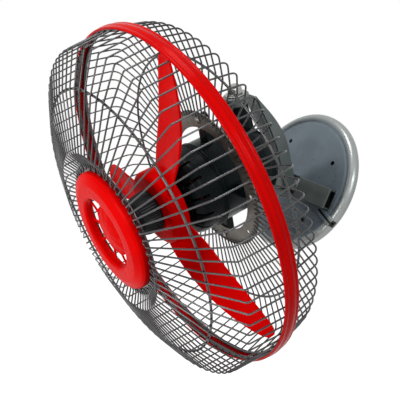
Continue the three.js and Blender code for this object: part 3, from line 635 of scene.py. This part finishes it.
# %% Blades
STATIONS = [  # radius, leading angle and depth, trailing angle and depth
    (44, 31, 1, -30, -13),
    (72, 24, 6, -23, -11),
    (102, 18, 10, -17, -6),
    (135, 15.5, 14, -10, 1),
    (165, 14.5, 17, -2, 8),
    (188, 13.5, 19.5, 4.5, 14),
    (197, 11, 19.5, 8, 17.5),
]
CAMBER, BLADE_THICK = 3, 2.2  # how far a blade bulges at its root, and its thickness
BLADES, BLADE_FIRST = 3, -math.radians(65)
HUB_RIBS, RIB_FIRST = 6, 0.3


def station(t):
    """The table's row at t from 0 to 1, on a Catmull-Rom curve through the rows."""
    at = min(t * (len(STATIONS) - 1), len(STATIONS) - 1.0001)
    i, f = int(at), at - int(at)
    rows = [STATIONS[min(max(k, 0), len(STATIONS) - 1)] for k in (i - 1, i, i + 1, i + 2)]
    weights = (
        (-f + 2 * f * f - f ** 3) / 2,
        (2 - 5 * f * f + 3 * f ** 3) / 2,
        (f + 4 * f * f - 3 * f ** 3) / 2,
        (f ** 3 - f * f) / 2,
    )
    return [sum(w * row[c] for w, row in zip(weights, rows)) for c in range(5)]


def blade_sheet(name, along=44, across=22):
    bm = bmesh.new()
    grid = []
    for i in range(along + 1):
        t = i / along
        r, lead, lead_y, trail, trail_y = station(t)
        row = []
        for j in range(across + 1):
            s = j / across
            a = math.radians(trail + (lead - trail) * s)
            y = trail_y + (lead_y - trail_y) * s + math.sin(math.pi * s) * CAMBER * (1 - t)
            row.append(bm.verts.new(Vector(on_ray(r, y, a)) * MM))
        grid.append(row)
    for a, b in zip(grid, grid[1:]):
        for k in range(across):
            bm.faces.new((a[k], a[k + 1], b[k + 1], b[k]))
    sheet = thing(name, bm)
    thick = sheet.modifiers.new("thickness", "SOLIDIFY")
    thick.thickness = BLADE_THICK * MM
    thick.offset = 0
    soft = sheet.modifiers.new("soft edge", "BEVEL")
    soft.width = 0.5 * MM
    soft.segments = 2
    soft.angle_limit = math.radians(60)
    return applied(sheet)


HUB = [
    (6.3, -20), (42, -20), (46, -16), (46, 2), (43.5, 2), (43.5, -15), (41, -17.5), (15, -17.5),
    (15, 2), (6.3, 2),
]
hub = lathed("hub", HUB, 96, LEVEL, 1.5)
ribs = copies(block("rib", (14, -18.5, -1.2), (44.5, -4, 1.2), LEVEL, 0.4), HUB_RIBS, RIB_FIRST)
blades = copies(blade_sheet("blade"), BLADES, BLADE_FIRST)
notch = block("notch", (-16, -1.3, -1.8), (16, 4, 1.8))
cut(hub, notch)
joined(hub, ribs, blades)
bm = bmesh.new()
bm.from_mesh(hub.data)
bmesh.ops.recalc_face_normals(bm, faces=bm.faces)
bm.to_mesh(hub.data)
bm.free()
hub.data.transform(HEAD)
hand_over(hub, RED_BLADE, "red_plastic", "rotor", "impeller", sharp=40)
print("impeller", len(hub.data.polygons), "faces")

# %% The knurled spinner knob
# The knob screws onto the shaft's end. Moving the lathe's points in and out gives its side a fine knurl.
SPIN = [
    (6.3, -20.3), (25, -20.3), (26, -22.3), (24.5, -36), (22.6, -43), (20.5, -46.6), (15, -48),
    (0, -48), (0, -44.3), (6.3, -44.3),
]
KNURLS, KNURL_DEPTH = 48, 0.034
knob = lathed("knob", SPIN, 288, LEVEL, 1.4)
for v in knob.data.vertices:
    r, y = math.hypot(v.co.x, v.co.z) / MM, v.co.y / MM
    if r > 21.5 and -43 < y < -22.4:
        deep = 1 - KNURL_DEPTH * (0.5 + 0.5 * math.cos(KNURLS * math.atan2(v.co.z, v.co.x)))
        v.co.x, v.co.z = v.co.x * deep, v.co.z * deep
knob.data.transform(HEAD)
hand_over(knob, KNOB, "black_plastic", "rotor", "spinner_knob")
print("knob", len(knob.data.polygons), "faces")

# %% [markdown]
# ## The wall plate
# The cover is pressed from sheet: a rolled rim, a groove inside it, and a shallow dome. A window is cut
# for the bracket, and a duct for the cord is pressed out towards the rim, slit along its top. Booleans do
# here what the press tool does: one shape is added, the openings are cut out.

# %% Cover, duct and window
COVER = [
    (91.7, 0), (93.3, 0), (93.3, -5), (90.7, -8.6), (87.5, -10.4), (84.3, -9.4), (81.3, -7.4),
    (77.8, -8.6), (56, -11), (0, -12.2), (0, -10.6), (56, -9.4), (77.5, -7), (81.3, -5.8),
    (85.1, -7.8), (87.5, -8.8), (89.4, -7.5), (91.7, -4.7),
]
cover = lathed("cover", COVER, 144, LEVEL, 1.6)
DUCT = Matrix.Rotation(math.radians(22), 4, "Y")
cut(cover, block("duct", (50, -12.4, -6), (92.3, -2.8, 6), DUCT, 1.2), how="UNION")
cut(
    cover,
    block("window", (-72.3, -25, -21.3), (72.3, 1, 5.3)),
    block("bore", (58, -10.8, -4.4), (95.3, -2.5, 4.4), DUCT),
    block("slit", (64, -14.4, -1.5), (96.3, -3.5, 1.5), DUCT),
)
base = lathed("base", disc_outline(0, 91.4, -2.5, 0), 144, LEVEL, 0.5)
for x in (-44, 44):
    for z in (-41, 41):
        skew = Matrix.Rotation(math.radians(6), 4, "Y") @ shift(x, 0, z)
        for sheet in (cover, base):
            cut(sheet, lathed("drill", disc_outline(0, 3, -20, 1), 32, skew))
hand_over(cover, PLATE, "plate_grey", "wall_base", "wall_cover")
hand_over(base, ZINC, "zinc_steel", "wall_base", "base_plate")
print("cover", len(cover.data.polygons), "faces")


# %% [markdown]
# ## Folded and cast pieces
# The bracket and the grommet keep their plain solids' shape and only need the soft edges that folding and
# moulding leave. A copy of the solid's mesh is merged, its flat faces are joined again, and a bevel rolls
# the edges.

# %% Soft edges on a copy of a plain solid
def polished(node, width):
    """A copy of a solid's mesh with its edges rolled by width mm."""
    bm = bmesh.new()
    bm.from_mesh(cad[node].data)
    bmesh.ops.remove_doubles(bm, verts=bm.verts, dist=1e-6)
    bmesh.ops.dissolve_limit(bm, angle_limit=math.radians(2), verts=bm.verts, edges=bm.edges)
    piece = thing("soft_" + node, bm)
    roll = piece.modifiers.new("roll", "BEVEL")
    roll.width = width * MM
    roll.segments = 3
    roll.limit_method = "ANGLE"
    roll.angle_limit = math.radians(30)
    return applied(piece)


bracket = polished("tilt_bracket", 0.8)
cut(bracket, *(block("end", (x, -17.8, -18.8), (x + 4, -2.7, 2.8)) for x in (-73, 69)))
# The bracket's paint is the darker copy of the arm's: painted shade.
hand_over(bracket, SHADED_BRACKET_PAINT, "hammer_grey", "wall_base", "tilt_bracket")
hand_over(polished("cord_inlet_grommet", 0.5), RUBBER, "black_rubber", "wall_base", "cord_inlet_grommet")

# %% [markdown]
# ## The arm
# The arm is a casting: straight up from the tilt bolt, then curved forward to an eye over the motor. Its
# side view is drawn with two Bezier curves and given its width, with rounded edges. A barrel for the tilt
# bolt and the eye are joined to it, and the three bores are cut last.

# %% Arm
def bezier(a, b, c, d, steps=20):
    """Points of a cubic Bezier, without its first point."""
    made = []
    for k in range(1, steps + 1):
        t = k / steps
        w = ((1 - t) ** 3, 3 * t * (1 - t) ** 2, 3 * t * t * (1 - t), t ** 3)
        made.append(tuple(sum(wi * p[i] for wi, p in zip(w, (a, b, c, d))) for i in (0, 1)))
    return made


side_view = [(178.3, -68.3), (160, -53.3), (160, -16)]
side_view += bezier((160, -16), (160, 22), (150, 44), (145, 72))
side_view += bezier((145, 72), (143, 75.5), (141, 77), (138, 77), 6)
side_view += [(125, 77), (125, 88), (134, 88), (147, 79)]
side_view += bezier((147, 79), (158, 58), (179, 30), (180.5, -6))
side_view += [(181.5, -57.3)]


def prism(name, outline, x0, x1, bevel):
    """An outline of (y, z) given a width along X, with its two rims rolled."""
    bm = bmesh.new()
    low = bm.faces.new([bm.verts.new((x0 * MM, y * MM, z * MM)) for y, z in outline])
    grown = bmesh.ops.extrude_face_region(bm, geom=[low])["geom"]
    far_end = [v for v in grown if isinstance(v, bmesh.types.BMVert)]
    bmesh.ops.translate(bm, verts=far_end, vec=((x1 - x0) * MM, 0, 0))
    if not [f for f in bm.faces if f.is_valid and f == low]:  # closes the near end if the extrude opened it
        bm.faces.new([v for v in bm.verts if abs(v.co.x - x0 * MM) < 1e-9])
    bmesh.ops.recalc_face_normals(bm, faces=bm.faces)
    rims = [e for e in bm.edges if abs(e.verts[0].co.x - e.verts[1].co.x) < 1e-9]
    bmesh.ops.bevel(bm, geom=rims, offset=bevel * MM, segments=4, affect="EDGES", clamp_overlap=True)
    return thing(name, bm)


def on_hinge(name, outline, corner):
    """Turned about the tilt bolt, with lengths along X."""
    return lathed(name, outline, 48, shift(0, HINGE_Y, HINGE_Z) @ ACROSS, corner)


def on_pivot(name, outline, corner):
    """Turned about the swivel pivot, with lengths along Z."""
    return lathed(name, outline, 64, shift(0, PIVOT_Y, 0) @ UP, corner)


HALF_ARM = 13
LOCK_AT = shift(0, 0, 82.5)  # the clamping screw's axis, in the head's frame
arm = prism("arm_casting", side_view, -HALF_ARM, HALF_ARM, 2.4)
cut(arm, on_hinge("barrel", disc_outline(0, 7.5, -HALF_ARM, HALF_ARM), corner=1), how="UNION")
cut(arm, on_pivot("eye", disc_outline(0, 16, 77, 88), corner=1.6), how="UNION")
cut(arm, on_hinge("tilt_bore", disc_outline(0, 4.3, -30, 30), corner=0))
cut(arm, on_pivot("pivot_bore", disc_outline(0, 8.4, 57, 108), corner=0))
cut(arm, lathed("lock_bore", disc_outline(0, 4.3, 95, 125), 32, LOCK_AT))
arm.data.transform(HEAD)
hand_over(arm, HAMMER, "hammer_grey", "tilt_arm", "arm")
print("arm", len(arm.data.polygons), "faces")


# %% [markdown]
# ## Nuts, bolts and screws
# A nut is where a hexagonal prism and a turned, chamfered blank meet, and a machine makes it just so.
# Screws have a domed head with a cross cut in it. Each kind that is used more than once is made once and
# copied to its places.

# %% Hexagons and washers
def hexagonal(name, flats, y0, y1, bore, place):
    """A nut, or with no bore a bolt's head, with its corners chamfered on both faces."""
    r = flats / math.sqrt(3)
    made = lathed(name, disc_outline(0, r, y0, y1), 6, LEVEL, 0, math.pi / 2)
    flat, fall, past = r * 0.88, r * 0.07, r + 0.05
    blank = [(0, y0), (flat, y0), (past, y0 + fall), (past, y1 - fall), (flat, y1), (0, y1)]
    cut(made, lathed("blank", blank, 48), how="INTERSECT")
    if bore:
        cut(made, lathed("bore", disc_outline(0, bore, y0 - 1, y1 + 1), 32))
    made.data.transform(place)
    return made


TILT_BOLT = BOLT @ ACROSS
PIVOT = HEAD @ shift(0, PIVOT_Y, 0) @ UP
bolt = hexagonal("tilt_bolt_head", 13, -24, -18.5, 0, TILT_BOLT)
shank = lathed("tilt_bolt_shank", disc_outline(0, 4, -23, 26), 32, TILT_BOLT, 0.6)
hand_over(joined(bolt, shank), ZINC, "zinc_steel", "wall_base", "tilt_bolt")
tilt_nut = hexagonal("tilt_bolt_nut", 13, 18.5, 25, 4.3, TILT_BOLT)
pivot_nut = hexagonal("pivot_stud_nut", 17, 90.2, 98.2, 5.3, PIVOT)
band_nut = hexagonal("band_nut", 7, 4.8, 7.8, M4_HOLE, CLAMP_LINE)
hand_over(tilt_nut, ZINC, "zinc_steel", "wall_base", "tilt_nut")
hand_over(pivot_nut, ZINC, "zinc_steel", "fan_head", "pivot_nut")
hand_over(band_nut, ZINC, "zinc_steel", "fan_head", "ring_nut")
for side_name, y in (("left", -14.9), ("right", 13.3)):
    ring = lathed("tilt_ring_" + side_name, disc_outline(4.3, 7.6, y, y + 1.6), 48, TILT_BOLT, 0.3)
    hand_over(ring, NYLON, "nylon", "wall_base", "tilt_washer_" + side_name)
washer = lathed("pivot_disc", disc_outline(5.3, 12.5, 88.3, 89.9), 64, PIVOT, 0.3)
hand_over(washer, ZINC, "zinc_steel", "fan_head", "pivot_washer")
sleeve = lathed("pivot_sleeve", disc_outline(5.3, 8.1, 77, 88), 48, PIVOT, 0.4)
hand_over(sleeve, NYLON, "nylon", "tilt_arm", "pivot_bushing")

# %% Threads
# A thread is a row of small grooves in the outline. Seen from arm's length it reads as a thread.
GROOVES, GROOVE_PITCH = 14, 1.1
thread = [(0, 57.3), (5, 57.3)]
for k in range(GROOVES):
    thread += [(5, 85.5 + k * GROOVE_PITCH), (4.55, 86.05 + k * GROOVE_PITCH)]
thread += [(4.6, 100.4), (4.1, 101), (0, 101)]
hand_over(lathed("pivot_thread", thread, 40, PIVOT), ZINC, "zinc_steel", "fan_head", "pivot_stud")
lock = hexagonal("lock_head", 13, 100, 106.5, 0, HEAD @ LOCK_AT)
lock_shank = lathed("lock_shank", disc_outline(0, 4, 105, 116.6), 32, HEAD @ LOCK_AT, 0.5)
hand_over(joined(lock, lock_shank), MOTOR, "black_paint", "tilt_arm", "swivel_lock_screw")


# %% Cross-head screws
def screw(name, shank, head, length, thick):
    """A screw along Y: its domed head stands at -Y from y = 0, and its shank goes to y = length."""
    dome = [(0, -thick), (head * 0.5, -thick * 0.96), (head * 0.85, -thick * 0.7), (head, -thick * 0.3)]
    rod = [(head, 0), (shank, 0), (shank, length - 0.5), (shank - 0.5, length), (0, length)]
    made = lathed(name, dome + rod, 32, LEVEL, 0.4)
    reach, bottom, half = head * 0.5, thick * 0.45, head * 0.11
    for quarter in (0, math.pi / 2):
        turned = Matrix.Rotation(quarter, 4, "Y")
        cut(made, block("cross", (-reach, -thick - 1, -half), (reach, -bottom, half), turned))
    return made


def copy_of(obj, name, place):
    twin = bpy.data.objects.new(name, obj.data.copy())
    bpy.context.scene.collection.objects.link(twin)
    twin.data.transform(place)
    return twin


disc_type = screw("disc_type", 2, 4.2, 9.1, 2.8)
for i in range(DISC_SCREWS):
    around = Matrix.Rotation(-i * 2 * math.pi / DISC_SCREWS, 4, "Y")
    pan = copy_of(disc_type, f"disc_pan_{i + 1}", HEAD @ around @ shift(DISC_CIRCLE, 66.5, 0))
    hand_over(pan, ZINC, "zinc_steel", "fan_head", f"disc_screw_{i + 1}")
badge_type = screw("badge_type", 1.5, 3.2, 7, 2.2)
for i in range(BADGE_SCREWS):
    around = Matrix.Rotation(BADGE_FIRST - i * 2 * math.pi / BADGE_SCREWS, 4, "Y")
    facing = shift(BADGE_CIRCLE, -71, 0) @ Matrix.Rotation(math.pi, 4, "X")
    pan = copy_of(badge_type, f"badge_pan_{i + 1}", HEAD @ around @ facing)
    hand_over(pan, ZINC, "zinc_steel", "fan_head", f"badge_screw_{i + 1}")
clamp = screw("clamp_screw", 2, 3.6, 14.1, 2.6)
clamp.data.transform(CLAMP_LINE @ shift(0, -4.8, 0))
hand_over(clamp, ZINC, "zinc_steel", "fan_head", "ring_screw")
for pattern in (disc_type, badge_type):
    bpy.data.objects.remove(pattern)
print("4 disc screws, 3 badge screws, 1 clamp screw")

# %% [markdown]
# ## Inside pieces
# The stator, the windings, the bearings and the shaft hardly show through the motor's slots. Their plain
# solids are right as they are, and only get their finishes.

# %% Finishes for the pieces that keep their solids
KEPT = {
    ZINC: ("bearing_front", "bearing_rear", "motor_shaft", "drive_pin"),
    CORE: ("stator_core", "rotor_core"),
    COPPER: ("winding_front", "winding_rear"),
    NYLON: ("run_capacitor",),
}
for material, names in KEPT.items():
    for name in names:
        cad[name].material_slots[0].material = material
print(sum(len(n) for n in KEPT.values()), "solids kept")

# %% [markdown]
# ## Studio
# A pale floor lies well below the fan and keeps its shadow. The camera sees it, and the world behind it,
# as white. Glossy rays see the same white, so the paint reflects a bright room, while the light that falls
# on the fan comes from a dim world and three soft lamps.

# %% World
ROOM_LIGHT = 0.33
FLOOR_Z, FLOOR_GLOW = -0.75, 0.85


def sees_background(tree):
    """A socket that is 1 for camera, glossy and transmission rays, and 0 for the rays that light."""
    path = tree.nodes.new("ShaderNodeLightPath")
    two, three = tree.nodes.new("ShaderNodeMath"), tree.nodes.new("ShaderNodeMath")
    two.operation = three.operation = "MAXIMUM"
    tree.links.new(path.outputs["Is Camera Ray"], two.inputs[0])
    tree.links.new(path.outputs["Is Glossy Ray"], two.inputs[1])
    tree.links.new(two.outputs[0], three.inputs[0])
    tree.links.new(path.outputs["Is Transmission Ray"], three.inputs[1])
    return three.outputs[0]


world = bpy.data.worlds.new("studio")
world.use_nodes = True
bpy.context.scene.world = world
sky = world.node_tree
sky.nodes.clear()
dim, white = sky.nodes.new("ShaderNodeBackground"), sky.nodes.new("ShaderNodeBackground")
for background, strength in ((dim, ROOM_LIGHT), (white, 1.0)):
    background.inputs["Color"].default_value = (1, 1, 1, 1)
    background.inputs["Strength"].default_value = strength
either, world_out = sky.nodes.new("ShaderNodeMixShader"), sky.nodes.new("ShaderNodeOutputWorld")
sky.links.new(sees_background(sky), either.inputs[0])
sky.links.new(dim.outputs[0], either.inputs[1])
sky.links.new(white.outputs[0], either.inputs[2])
sky.links.new(either.outputs[0], world_out.inputs["Surface"])

# %% Floor
bm = bmesh.new()
bmesh.ops.create_grid(bm, x_segments=8, y_segments=8, size=4)
bmesh.ops.translate(bm, verts=bm.verts, vec=(0, -1, FLOOR_Z))
floor = thing("floor", bm)
paint = bpy.data.materials.new("pale_floor")
paint.use_nodes = True
shader = paint.node_tree.nodes["Principled BSDF"]
shader.inputs["Base Color"].default_value = (0.55, 0.55, 0.55, 1)
shader.inputs["Roughness"].default_value = 0.9
shader.inputs["Emission Color"].default_value = (1, 1, 1, 1)
glow = paint.node_tree.nodes.new("ShaderNodeMath")
glow.operation = "MULTIPLY"
glow.inputs[1].default_value = FLOOR_GLOW
paint.node_tree.links.new(sees_background(paint.node_tree), glow.inputs[0])
paint.node_tree.links.new(glow.outputs[0], shader.inputs["Emission Strength"])
floor.data.materials.append(paint)


# %% Lamps
def softbox(name, at, aim, size, power):
    lamp = bpy.data.objects.new(name, bpy.data.lights.new(name, "AREA"))
    lamp.data.shape = "SQUARE"
    lamp.data.size = size
    lamp.data.energy = power
    bpy.context.scene.collection.objects.link(lamp)
    direction = Vector(aim) - Vector(at)
    lamp.matrix_world = Matrix.Translation(at) @ direction.to_track_quat("-Z", "Y").to_matrix().to_4x4()


FAN_MIDDLE = (0, -0.2, -0.05)
softbox("key", (-0.2, -1.3, 1.5), FAN_MIDDLE, 0.7, 17)
softbox("side", (1.7, -0.9, 0.9), FAN_MIDDLE, 0.6, 11)
softbox("low", (0.3, -1.6, -0.55), FAN_MIDDLE, 0.7, 16)
bpy.context.scene.view_settings.view_transform = "Standard"
